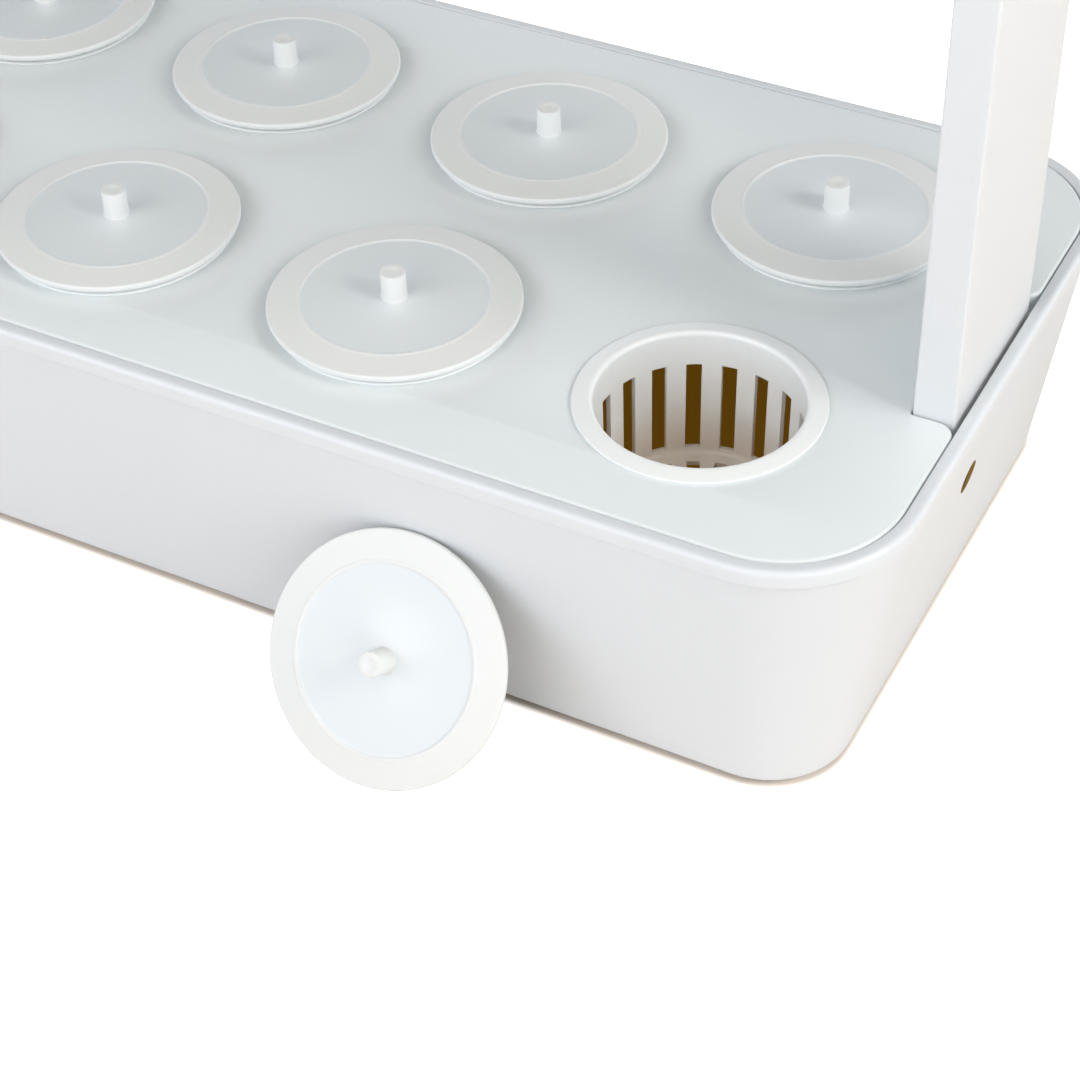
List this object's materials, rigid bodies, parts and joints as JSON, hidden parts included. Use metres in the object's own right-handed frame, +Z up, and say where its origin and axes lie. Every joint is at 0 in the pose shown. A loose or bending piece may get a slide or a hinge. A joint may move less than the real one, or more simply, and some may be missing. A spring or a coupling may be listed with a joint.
{
  "type": "countertop hydroponic garden",
  "caption": "Countertop hydroponic garden: drafted basin with a lift-out deck of net cups and caps, a hidden pump, and a grow light on telescoping posts.",
  "frame": {"origin": "centre of the middle rubber foot's face, on the counter under the middle of the basin", "axes": "+X along the garden's length to the power inlet's end, +Y to the back, +Z up"},
  "size_m": [0.379, 0.2255, 0.3228],
  "materials": {
    "shell": "satin moulded",
    "deck": "satin moulded",
    "cup": "satin moulded",
    "cap": "satin moulded",
    "post": "satin moulded",
    "mast": "matt",
    "foot_plastic": "matt",
    "foot_rubber": "matt",
    "screw_steel": "plain",
    "inlet_black": "satin",
    "nut_nickel": "plated",
    "pump_black": "satin",
    "rotor": "satin",
    "shaft_ceramic": "polished",
    "pipe": "satin",
    "lead": "satin",
    "light_plate": "plain",
    "led_board": "solder mask",
    "diffuser": "opal",
    "driver_board": "solder mask",
    "button": "satin"
  },
  "bodies": {
    "base": {"basin": "shell", "feet": "foot_rubber", "right_post": "post", "left_post": "post", "right_post_foot": "foot_plastic", "left_post_foot": "foot_plastic", "post_screws": "screw_steel", "right_collar": "shell", "left_collar": "shell", "well_cover": "shell", "cover_screws": "screw_steel", "dc_inlet": "inlet_black", "inlet_nut": "nut_nickel", "pump_body": "pump_black", "pump_grille": "pump_black", "pump_shaft": "shaft_ceramic", "pump_suckers": "foot_rubber", "outlet_pipe": "pipe", "lead_grommet": "foot_rubber", "pump_lead": "lead"},
    "deck": {"deck": "deck"},
    "light": {"right_mast": "mast", "left_mast": "mast", "hood_shell": "shell", "light_plate": "light_plate", "led_board_front": "led_board", "led_board_rear": "led_board", "diffuser": "diffuser", "driver_board": "driver_board", "hood_screws": "screw_steel", "plate_screws": "screw_steel", "button_spring": "screw_steel"},
    "light_button": {"light_button": "button"},
    "impeller": {"impeller": "rotor"},
    "cup_1": {"net_cup_1": "cup"},
    "cup_2": {"net_cup_2": "cup"},
    "cup_3": {"net_cup_3": "cup"},
    "cup_4": {"net_cup_4": "cup"},
    "cup_5": {"net_cup_5": "cup"},
    "cup_6": {"net_cup_6": "cup"},
    "cup_7": {"net_cup_7": "cup"},
    "cup_8": {"net_cup_8": "cup"},
    "cap_1_body": {"cap_1": "cap"},
    "cap_2_body": {"cap_2": "cap"},
    "cap_3_body": {"cap_3": "cap"},
    "cap_4_body": {"cap_4": "cap"},
    "cap_5_body": {"cap_5": "cap"},
    "cap_6_body": {"cap_6": "cap"},
    "cap_7_body": {"cap_7": "cap"},
    "cap_8_body": {"cap_8": "cap"}
  },
  "joints": [
    {"name": "deck_lift", "type": "slide", "parent": "base", "child": "deck", "axis": [0, 0, 1], "range_m": [0, 0.1]},
    {"name": "light_rise", "type": "slide", "parent": "base", "child": "light", "axis": [0, 0, 1], "range_m": [0, 0.11]},
    {"name": "button_press", "type": "slide", "parent": "light", "child": "light_button", "axis": [0, 0, -1], "range_m": [0, 0.0012], "stiffness_N_per_m": 900, "springref_m": -0.001, "deforming": ["button_spring"]},
    {"name": "impeller_spin", "type": "hinge", "parent": "base", "child": "impeller", "pos_m": [-0.012, -0.003, 0.0211], "axis": [1, 0, 0], "continuous": true},
    {"name": "cup_1_lift", "type": "slide", "parent": "deck", "child": "cup_1", "axis": [0, 0, 1], "range_m": [0, 0.045]},
    {"name": "cup_2_lift", "type": "slide", "parent": "deck", "child": "cup_2", "axis": [0, 0, 1], "range_m": [0, 0.045]},
    {"name": "cup_3_lift", "type": "slide", "parent": "deck", "child": "cup_3", "axis": [0, 0, 1], "range_m": [0, 0.045]},
    {"name": "cup_4_lift", "type": "slide", "parent": "deck", "child": "cup_4", "axis": [0, 0, 1], "range_m": [0, 0.045]},
    {"name": "cup_5_lift", "type": "slide", "parent": "deck", "child": "cup_5", "axis": [0, 0, 1], "range_m": [0, 0.045]},
    {"name": "cup_6_lift", "type": "slide", "parent": "deck", "child": "cup_6", "axis": [0, 0, 1], "range_m": [0, 0.045]},
    {"name": "cup_7_lift", "type": "slide", "parent": "deck", "child": "cup_7", "axis": [0, 0, 1], "range_m": [0, 0.045]},
    {"name": "cup_8_lift", "type": "slide", "parent": "deck", "child": "cup_8", "axis": [0, 0, 1], "range_m": [0, 0.045]},
    {"name": "cap_1_pull", "type": "slide", "parent": "cup_1", "child": "cap_1_body", "axis": [0, 0, 1], "range_m": [0, 0.03]},
    {"name": "cap_2_pull", "type": "slide", "parent": "cup_2", "child": "cap_2_body", "axis": [0, 0, 1], "range_m": [0, 0.03]},
    {"name": "cap_3_pull", "type": "slide", "parent": "cup_3", "child": "cap_3_body", "axis": [0, 0, 1], "range_m": [0, 0.03]},
    {"name": "leaning_cap_pick", "type": "slide", "parent": "base", "child": "cap_4_body", "axis": [0, -0.7071, 0.7071], "range_m": [0, 0.04]},
    {"name": "cap_5_pull", "type": "slide", "parent": "cup_5", "child": "cap_5_body", "axis": [0, 0, 1], "range_m": [0, 0.03]},
    {"name": "cap_6_pull", "type": "slide", "parent": "cup_6", "child": "cap_6_body", "axis": [0, 0, 1], "range_m": [0, 0.03]},
    {"name": "cap_7_pull", "type": "slide", "parent": "cup_7", "child": "cap_7_body", "axis": [0, 0, 1], "range_m": [0, 0.03]},
    {"name": "cap_8_pull", "type": "slide", "parent": "cup_8", "child": "cap_8_body", "axis": [0, 0, 1], "range_m": [0, 0.03]}
  ]
}
